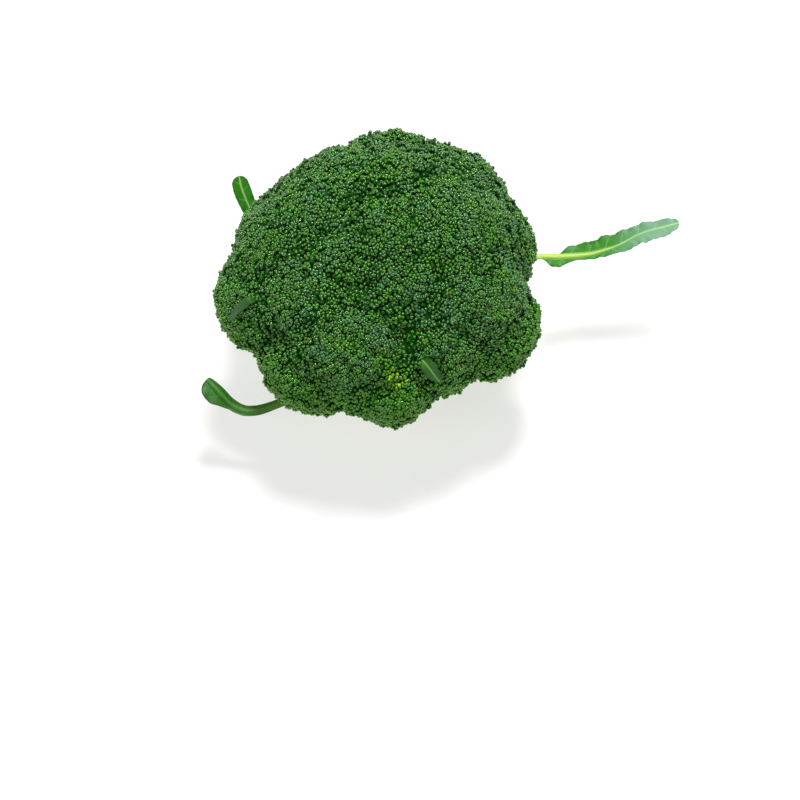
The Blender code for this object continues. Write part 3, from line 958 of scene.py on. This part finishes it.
def make_twigs(part, material):
    """One head's twigs to its lobes and the flared rays under its rosettes."""
    t = np.linspace(0, 1, part.twigs.shape[1])
    thick = np.tile(0.0017 - 0.0007 * t, (len(part.twigs), 1))
    s = np.linspace(0, 1, part.rays.shape[1])
    flare = np.tile(0.00062 + 0.0021 * s**2.6, (len(part.rays), 1))
    points, faces = joined(rods(part.twigs, thick, 7), rods(part.rays, flare, 6))
    piece = new_piece(part.head.name + "_twigs", points, faces, material)
    foot = part.head.stem_end
    rise = np.clip(np.linalg.norm(points - foot, axis=1) / 0.027, 0, 1)
    none = np.zeros(len(points))
    add_attribute(piece, "stem", np.c_[rise, none, none])
    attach(piece, "root")


def make_stalk_cut(material):
    """The sawn foot of the stalk: a slice whose cut shows the pith and its ring.

    The ring is a band near the skin, which wavers with the turn, 0.035 sin 11 turn and
    0.025 sin (5 turn + 1), and fades in and out across its width.
    """
    rows = 14
    share = np.r_[np.linspace(0.06, 0.965, rows), 0.985, 0.985, 0.96]
    height = np.r_[np.zeros(rows), 0.0003, 0.0009, 0.0015]
    points, faces = stalk_mesh(height, share[:, None], height[-1])
    piece = new_piece("stalk_cut_slice", points, faces, material)
    on_cut = np.repeat(height == 0, STALK_SIDES)
    wave = 0.035 * np.sin(11 * STALK_TURNS) + 0.025 * np.sin(5 * STALK_TURNS + 1)
    around = (share[:, None] + wave).ravel()
    ring = np.clip((around - 0.72) / 0.08, 0, 1) * np.clip((0.99 - around) / 0.06 + 0.4, 0, 1)
    none = np.zeros(len(points))
    add_attribute(piece, "stem", np.c_[none, np.r_[1.0, on_cut, 0.0], np.r_[0.0, ring * on_cut, 0.0]])
    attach(piece, "root")
    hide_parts("main_stalk")


# ---- Leaves ---------------------------------------------------------------------------------

# Lengths here are in millimetres. For each leaf: the points of its middle line, each with
# half the width of its stalk or midrib there; how far the blade reaches to the left and right
# of that at shares of the line; the way across the leaf; the angle in radians by which each
# side folds up; how deeply the edge is toothed, as a share of the reach; how far it waves; and
# its look, as how pale its stalk is, how dark its blade is and how grey its tip is.
LEAVES = {
    "right_leaf": {
        "line": (
            (16, 3, 7, 2.4), (34, 8, 15, 2.1), (54, 13, 31, 1.8), (66, 17, 43, 1.5),
            (76, 19.5, 52, 1.3), (90, 19.6, 53, 1.3), (103, 20.2, 54, 1.1), (112, 21.8, 56, 0.9),
            (118, 22.9, 58.5, 0.7), (125, 25.5, 61.5, 0.5), (131, 26.8, 64, 0.4),
            (138, 27.3, 66.5, 0.3), (146, 28.1, 69, 0.2),
        ),
        "left": (
            (0.42, 0), (0.424, 3.8), (0.44, 4), (0.47, 4.6), (0.583, 6), (0.667, 5.5),
            (0.75, 4.6), (0.83, 4.2), (0.9, 3.7), (0.96, 3), (1, 2.6),
        ),
        "right": (
            (0.362, 0), (0.38, 4), (0.393, 6.4), (0.412, 3.8), (0.435, 2.6), (0.46, 1),
            (0.5, 1.9), (0.625, 3.3), (0.714, 4.9), (0.79, 5.4), (0.88, 5.8), (0.946, 4.6),
            (1, 3),
        ),
        "across": (0, 1, 0.25),
        "fold": 0.22,
        "teeth": 0.09,
        "wave": 0.5,
        "look": (0.95, 0.1, 0.95),
    },
    "back_left_leaf": {
        "line": (
            (-13, 9, 7, 2.3), (-30, 19, 16, 2), (-46, 28, 31, 1.8), (-56, 34, 46, 1.5),
            (-60, 37, 57, 1), (-64, 41, 65, 0.6), (-67.5, 46.5, 73, 0.4), (-68.6, 50, 78, 0.2),
        ),
        "left": ((0.45, 0), (0.62, 2.4), (0.75, 3.5), (0.86, 3.9), (0.94, 3.7), (1, 3.3)),
        "right": ((0.45, 0), (0.6, 2.6), (0.75, 3.7), (0.86, 4), (0.94, 3.8), (1, 3.3)),
        "across": (0.9, 0.28, 0.1),
        "fold": 0.18,
        "teeth": 0.03,
        "wave": 0.3,
        "look": (0.7, 0.2, 0),
    },
    "front_left_leaf": {
        "line": (
            (-9, -13, 6, 2.6), (-20, -33, 15, 2.4), (-32, -46, 28, 2.2), (-43, -54, 37, 1.9),
            (-53, -58.5, 37.4, 1.8), (-59, -60.2, 37.2, 1.8), (-65, -60.2, 37.6, 1.8),
            (-71, -57.6, 39.6, 1.8), (-76, -53.5, 43, 1.7), (-82, -48, 46, 1),
        ),
        "left": ((0.3, 0), (0.5, 0.6), (0.8, 1), (0.95, 1), (1, 0.8)),
        "right": ((0.3, 0), (0.5, 0.6), (0.76, 0.9), (0.82, 3), (0.87, 5.6), (0.93, 6), (1, 4.6)),
        "across": (0.45, 0.8, 0.3),
        "fold": 0.3,
        "teeth": 0,
        "wave": 0.3,
        "look": (0.12, 0.6, 0),
    },
    "back_right_leaf": {
        "line": (
            (11, 11, 7, 2.3), (22, 24, 15, 2), (34, 38, 26, 1.6), (42, 48, 37, 1.1),
            (47, 54, 46, 0.6), (49, 57, 53, 0.2),
        ),
        "left": ((0.4, 0), (0.55, 2), (0.75, 4), (0.92, 3), (1, 0.6)),
        "right": ((0.45, 0), (0.6, 2.4), (0.78, 4.2), (0.92, 2.8), (1, 0.6)),
        "across": (0.75, -0.65, 0),
        "fold": 0.35,
        "teeth": 0.18,
        "wave": 0.8,
        "look": (0.8, 0.4, 0.3),
    },
    "underside_leaf": {
        "line": (
            (15, -4, 6, 2.2), (28, -9, 13, 1.9), (40, -13, 22, 1.4), (50, -16, 31, 0.8),
            (58, -18, 37, 0.3),
        ),
        "left": ((0.25, 0), (0.5, 2.2), (0.75, 4.2), (0.92, 2.8), (1, 0.8)),
        "right": ((0.3, 0), (0.5, 1.6), (0.75, 3.6), (0.92, 3), (1, 0.8)),
        "across": (0.3, 0.9, 0),
        "fold": 0.35,
        "teeth": 0.18,
        "wave": 0.8,
        "look": (0.8, 0.4, 0.3),
    },
    "tucked_front_leaf": {
        "line": (
            (11.6, -35.1, 69.8, 0.7), (12.6, -42, 74.2, 0.7), (13.8, -48.8, 78.5, 0.7),
            (15.2, -54, 81.2, 0.7), (17.2, -59.2, 84.2, 0.6), (19.8, -64, 86.8, 0.5),
            (22.5, -67.9, 87.3, 0.4), (25.3, -70.4, 84.5, 0.3), (28.4, -72.2, 80.2, 0.2),
        ),
        "left": ((0.48, 0), (0.58, 1.8), (0.68, 2.8), (0.8, 3.2), (0.92, 2.9), (1, 2.2)),
        "right": ((0.48, 0), (0.56, 1.2), (0.66, 2.2), (0.78, 3), (0.9, 2.8), (1, 2.1)),
        "across": (0.86, 0.12, 0.49),
        "fold": 0.12,
        "teeth": 0.2,
        "wave": 0.4,
        "look": (0.35, 0.75, 0),
    },
    "tucked_left_leaf": {
        "line": (
            (-43.8, -23.4, 76.8, 0.7), (-47.1, -27.6, 83.3, 0.7), (-50.4, -31.9, 89.8, 0.6),
            (-54.5, -35, 93.5, 0.5), (-59.2, -37.4, 96.2, 0.4), (-63.2, -39, 93.8, 0.3),
            (-66.4, -39.6, 89.3, 0.3), (-69, -39.7, 84, 0.2),
        ),
        "left": ((0.35, 0), (0.5, 1.3), (0.7, 2.1), (0.9, 1.3), (1, 0.3)),
        "right": ((0.35, 0), (0.5, 1), (0.7, 1.5), (0.9, 1), (1, 0.3)),
        "across": (0.55, -0.81, -0.09),
        "fold": 0.15,
        "teeth": 0.15,
        "wave": 0.3,
        "look": (0, 0.95, 0.1),
    },
}
MILLIMETRE = 0.001
# The steps along a leaf, the columns on either side of its middle, and how many of those lie
# within the stalk or midrib.
LEAF_STEPS = 300
LEAF_HALF = 14
LEAF_ROD = 5


def through(table, at):
    """A smooth curve through a table's rows: Catmull-Rom cubics, at shares from 0 to 1."""
    rows = np.array(table, float).reshape(len(table), -1)
    padded = np.concatenate((2 * rows[:1] - rows[1:2], rows, 2 * rows[-1:] - rows[-2:-1]))
    place = np.clip(at, 0, 1 - 1e-9) * (len(rows) - 1)
    i = place.astype(int)
    t = (place - i)[:, None]
    a, b, c, d = (padded[i + k] for k in range(4))
    return 0.5 * (
        2 * b + (c - a) * t + (2 * a - 5 * b + 4 * c - d) * t**2 + (3 * b - a - 3 * c + d) * t**3
    )


def blade_reach(plan, t, length, side, b):
    """How far the blade reaches beside the midrib at each step and column, and the wider
    side's reach at each step without teeth or tip.

    Each side's reach is eased over nine steps and drops to the tip as sqrt(1 - r^2), where r
    rises to 1 over the last few millimetres. The edge has a worn saw's teeth, 3.1 mm apart,
    whose depth grows with b^2 and comes and goes along the leaf.
    """
    ease = np.ones(9) / 9
    left, right = (
        np.convolve(np.pad(np.interp(t, *zip(*plan[key])) * MILLIMETRE, 4, "edge"), ease, "valid")
        for key in ("left", "right")
    )
    blade = np.where(side > 0, left[:, None], right[:, None]) + 0.00006
    rounding = np.clip(1 - (length[-1] - length) / blade.max(1).clip(0.001, 0.004), 0, 1)
    blade = blade * np.sqrt(1.0001 - rounding**2)[:, None]
    tooth = (length[:, None] + side * 0.0011) / 0.0031 % 1.0
    ragged = plan["teeth"] * (tooth**0.6 - 0.6 + 0.6 * np.sin(length * 610 + 1)[:, None])
    return blade * (1 + ragged * b**2), np.maximum(left, right)


def leaf_paint(plan, t, width, rod, flat, vein, b, side):
    """What the leaf's material reads over the grid: veins, dark blade, stalk and grey tip.

    The midrib is exp(-(flat / 0.34 mm)^2). The stalk's colour fills the leaf where it has no
    blade, fades along the midrib, and is at least 0.8 beside the head's own stalk.
    """
    pale, dark, grey = plan["look"]
    bare = np.clip(1 - width / 0.0012, 0, 1)[:, None]
    within = np.clip(3 - 2.4 * np.abs(flat) / np.maximum(rod, 0.0003), 0, 1)
    stalk = np.maximum(bare, np.clip(1.9 - 2.7 * t[:, None], 0, 1) * within) * pale
    stalk = np.maximum(stalk, np.clip(1.7 - 5 * t[:, None], 0, 0.8))
    midrib = np.exp(-((flat / 0.00034) ** 2)) * np.clip(pale * 1.4, 0, 1)
    veins = np.clip(0.85 * midrib + 0.35 * vein * min(pale * 1.4, 1), 0, 1)
    tip = grey * np.clip((t[:, None] - 0.60 + 0.06 * (side < 0)) / 0.26, 0, 1)
    edge = np.clip(dark + 0.35 * b**4, 0, 1)
    return np.stack(np.broadcast_arrays(veins, edge, stalk, tip), -1)


def make_leaf(name, material):
    """A leaf on its stalk: a rod that thins into the midrib, with a blade to either side.

    Over a grid of steps along the middle line and columns across it, a column lies within
    the rod, at a share a of its half width, or out on the blade, at a share b of the reach
    there. The blade folds up by b reach sin f, and its edge waves by wave b^2. The two
    faces lie apart by the rod's circle, sqrt(1 - a^2), or by the blade's thickness.
    """
    leaves = bpy.context.scene.broccoli.leaves
    plan = LEAVES[name]
    t = np.linspace(0, 1, LEAF_STEPS)
    points = through(plan["line"], t) * MILLIMETRE
    line, rod = points[:, :3], np.maximum(points[:, 3:], 0.00015)
    way = unit(np.gradient(line, axis=0))
    across = np.array(plan["across"])
    wide = unit(across - way * (way @ across)[:, None])
    up = np.cross(way, wide)
    up *= np.sign(up[:, 2].sum())
    length = np.r_[0, np.cumsum(np.linalg.norm(np.diff(line, axis=0), axis=1))]
    column = np.arange(-LEAF_HALF, LEAF_HALF + 1)
    side = np.sign(column)
    a = np.sin(np.clip(np.abs(column) / LEAF_ROD, 0, 1) * np.pi / 2) * side
    b = np.clip((np.abs(column) - LEAF_ROD) / (LEAF_HALF - LEAF_ROD), 0, 1)
    blade, width = blade_reach(plan, t, length, side, b)
    broad = np.clip(blade / 0.002, 0, 1)
    turn = length[:, None] * 880 + 1.7 * np.sin(length * 290)[:, None] + side * 0.9
    ripple = plan["wave"] * MILLIMETRE * broad * b**2 * np.sin(turn)
    flat = rod * a + side * blade * b * np.cos(plan["fold"])
    lift = blade * b * np.sin(plan["fold"]) + ripple
    middle = line[:, None] + wide[:, None] * flat[..., None] + up[:, None] * lift[..., None]
    circle = rod * np.sqrt(np.maximum(1 - a**2, 0))
    vein = np.cos((length[:, None] - 0.7 * np.abs(flat) + side * 0.0019) * 2 * np.pi / 0.0088)
    vein = np.clip((vein - 0.975) / 0.025, 0, 1) * np.clip((0.85 - b) * 3, 0, 1) * broad
    vein *= blade > 0.0024
    thin = leaves.thickness / 2 * (1 - 0.75 * b**3) * np.sqrt(np.clip((1 - b) * 12, 0, 1))
    thick = np.maximum(circle, thin)
    top = middle + up[:, None] * (0.55 * thick - 0.00010 * vein)[..., None]
    bottom = middle - up[:, None] * (thick + 0.00015 * vein)[..., None]
    loop = np.concatenate((top, bottom[:, -2:0:-1]), 1)
    points = np.concatenate((loop[0].mean(0)[None], loop.reshape(-1, 3), loop[-1].mean(0)[None]))
    faces = lathe_faces(LEAF_STEPS, loop.shape[1])
    corners = points[faces]
    volume = (np.cross(corners[:, 0], corners[:, 1]) * corners[:, 2]).sum()
    piece = new_piece(name + "_blade", points, faces if volume > 0 else faces[:, ::-1], material)
    paint = leaf_paint(plan, t, width, rod, flat, vein, b, side)
    looped = np.concatenate((paint, paint[:, -2:0:-1]), 1)
    values = np.concatenate((looped[0, :1], looped.reshape(-1, 4), looped[-1, :1]))
    add_attribute(piece, "leaf", values)
    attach(piece, "root")
    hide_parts(name)


# ---- Stage ----------------------------------------------------------------------------------


def make_floor():
    """A plain pale floor, 6 m across, which glows so that shadows on it stay faint."""
    material, tree, shader = new_material("pale_paper_floor")
    place = add_node(tree, "TexCoord")["Object"]
    paper = add_node(tree, "TexNoise", {"Vector": place, "Scale": 1 / 0.03, "Detail": 2.0})["Fac"]
    share = {**SMOOTH, "Value": paper, "From Min": 0.3, "From Max": 0.7}
    share = add_node(tree, "MapRange", share)["Result"]
    light, dark = hex_colour("#a0a09f"), hex_colour("#9f9f9e")
    shade = {**COLOURS, "Factor_Float": share, "A_Color": light, "B_Color": dark}
    shade = add_node(tree, "Mix", shade)["Result_Color"]
    tree.links.new(shade, shader.inputs["Base Color"])
    # The floor glows. This painted light keeps it white, keeps shadows on it faint and lights the head
    # from below.
    tree.links.new(shade, shader.inputs["Emission Color"])
    shader.inputs["Emission Strength"].default_value = 1.75
    shader.inputs["Roughness"].default_value = 0.8
    corners = np.array(((-3, -3, 0), (3, -3, 0), (3, 3, 0), (-3, 3, 0)), float)
    floor = new_piece("floor", corners, np.array(((0, 1, 2, 3),)), material, False)


def make_light():
    """Soft light from a sky that is pale at its rim and darker above, and two large lamps."""
    world = bpy.data.worlds.new("soft_sky")
    world.use_nodes = True
    sky = world.node_tree
    where = add_node(sky, "TexCoord")["Generated"]
    height = add_node(sky, "SeparateXYZ", {"Vector": where})["Z"]
    share = {**SMOOTH, "Value": height, "From Min": 0.15, "From Max": 0.75}
    share = add_node(sky, "MapRange", share)["Result"]
    rim, above = (0.94, 0.94, 0.94, 1.0), (0.26, 0.27, 0.27, 1.0)
    shade = {**COLOURS, "Factor_Float": share, "A_Color": rim, "B_Color": above}
    background = sky.nodes["Background"].inputs
    sky.links.new(add_node(sky, "Mix", shade)["Result_Color"], background["Color"])
    background["Strength"].default_value = 1.0
    bpy.context.scene.world = world
    for name, place, size, power in (
        ("key_lamp", (0.15, 0.35, 1.6), 0.36, 32.0),
        ("front_lamp", (-0.7, -0.9, 1.3), 0.6, 6.0),
    ):
        lamp = bpy.data.lights.new(name, "AREA")
        lamp.shape = "SQUARE"
        lamp.size = size
        lamp.energy = power
        holder = bpy.data.objects.new(name, lamp)
        holder.location = place
        aim = unit(np.array((0, 0, 0.06)) - place)
        holder.rotation_euler = Vector(aim).to_track_quat("-Z", "Y").to_euler()
        bpy.context.scene.collection.objects.link(holder)


def make_camera():
    """The camera, which looks down at the head from its front, from 1.1 m away."""
    tilt, distance, seen = np.radians(57), 1.1, 0.385
    back = np.array((0.0, -np.cos(tilt), np.sin(tilt)))
    top = np.array((0.0, np.sin(tilt), np.cos(tilt)))
    aim = np.array((0.0101, 0.0, 0.066)) - top * 0.0611
    camera = bpy.data.cameras.new("camera")
    camera.lens = camera.sensor_width * distance / seen
    holder = bpy.data.objects.new("camera", camera)
    holder.location = aim + back * distance
    holder.rotation_euler = (np.pi / 2 - tilt, 0.0, 0.0)
    bpy.context.scene.collection.objects.link(holder)
    bpy.context.scene.camera = holder
    bpy.context.scene.view_settings.view_transform = "Standard"
    bpy.context.scene.view_settings.look = "None"


# ---- Operators and panel --------------------------------------------------------------------


def shared_material(name, make):
    """The material of that name, made when it is first asked for."""
    return bpy.data.materials.get(name) or make()


class BROCCOLI_OT_stems(bpy.types.Operator):
    """Builds the stalk and the branching stems as one skin"""

    bl_idname = "broccoli.stems"
    bl_label = "Stems"

    def execute(self, context):
        make_stems(branchings(), shared_material("waxy_stem_skin", stem_material))
        return {"FINISHED"}


class BROCCOLI_OT_twigs(bpy.types.Operator):
    """Builds the twigs to the lobes and the rays under the rosettes of every head"""

    bl_idname = "broccoli.twigs"
    bl_label = "Twigs"

    def execute(self, context):
        skin = shared_material("waxy_stem_skin", stem_material)
        for part in branchings():
            make_twigs(part, skin)
        return {"FINISHED"}


class BROCCOLI_OT_stalk_cut(bpy.types.Operator):
    """Builds the sawn foot of the stalk, with its pith"""

    bl_idname = "broccoli.stalk_cut"
    bl_label = "Stalk Cut"

    def execute(self, context):
        make_stalk_cut(shared_material("waxy_stem_skin", stem_material))
        return {"FINISHED"}


class BROCCOLI_OT_buds(bpy.types.Operator):
    """Builds the flower buds of every head"""

    bl_idname = "broccoli.buds"
    bl_label = "Flower Buds"

    def execute(self, context):
        settings = context.scene.broccoli.buds
        crown = grown_crown()
        sepals = bud_material()
        ways = spread_over(crown.heads, settings.spacing, settings.seed, 8)
        for head, own in zip(crown.heads, ways):
            make_buds(crown, head, own, sepals)
        return {"FINISHED"}


class BROCCOLI_OT_bud_beds(bpy.types.Operator):
    """Builds the layer that the buds of every head stand on"""

    bl_idname = "broccoli.bud_beds"
    bl_label = "Bud Beds"

    def execute(self, context):
        crown = grown_crown()
        packed = bed_material()
        for head in crown.heads:
            make_bed(crown, head, packed)
        return {"FINISHED"}


class BROCCOLI_OT_leaves(bpy.types.Operator):
    """Builds the leaves"""

    bl_idname = "broccoli.leaves"
    bl_label = "Leaves"

    def execute(self, context):
        blade = leaf_material()
        for name in LEAVES:
            make_leaf(name, blade)
        return {"FINISHED"}


class BROCCOLI_OT_stage(bpy.types.Operator):
    """Sets the floor, the light and the camera"""

    bl_idname = "broccoli.stage"
    bl_label = "Stage"

    def execute(self, context):
        make_floor()
        make_light()
        make_camera()
        return {"FINISHED"}


class BROCCOLI_PT_panel(bpy.types.Panel):
    """Lists the head's settings and the operators that build its pieces"""

    bl_label = "Broccoli Head"
    bl_idname = "BROCCOLI_PT_panel"
    bl_space_type = "VIEW_3D"
    bl_region_type = "UI"
    bl_category = "Broccoli"

    def draw(self, context):
        settings = context.scene.broccoli
        for group in (settings.buds, settings.stems, settings.leaves):
            box = self.layout.box()
            for key in group.__annotations__:
                box.prop(group, key)
        for operator in OPERATORS:
            self.layout.operator(operator.bl_idname)


OPERATORS = (
    BROCCOLI_OT_stems,
    BROCCOLI_OT_twigs,
    BROCCOLI_OT_stalk_cut,
    BROCCOLI_OT_buds,
    BROCCOLI_OT_bud_beds,
    BROCCOLI_OT_leaves,
    BROCCOLI_OT_stage,
)
CLASSES = (BudSettings, StemSettings, LeafSettings, BroccoliSettings, *OPERATORS, BROCCOLI_PT_panel)


def register():
    for entry in CLASSES:
        bpy.utils.register_class(entry)
    bpy.types.Scene.broccoli = PointerProperty(type=BroccoliSettings)


def unregister():
    del bpy.types.Scene.broccoli
    for entry in reversed(CLASSES):
        bpy.utils.unregister_class(entry)


def main():
    register()
    bpy.ops.broccoli.stems()
    bpy.ops.broccoli.twigs()
    bpy.ops.broccoli.stalk_cut()
    bpy.ops.broccoli.buds()
    bpy.ops.broccoli.bud_beds()
    bpy.ops.broccoli.leaves()
    bpy.ops.broccoli.stage()


if __name__ == "__main__":
    main()
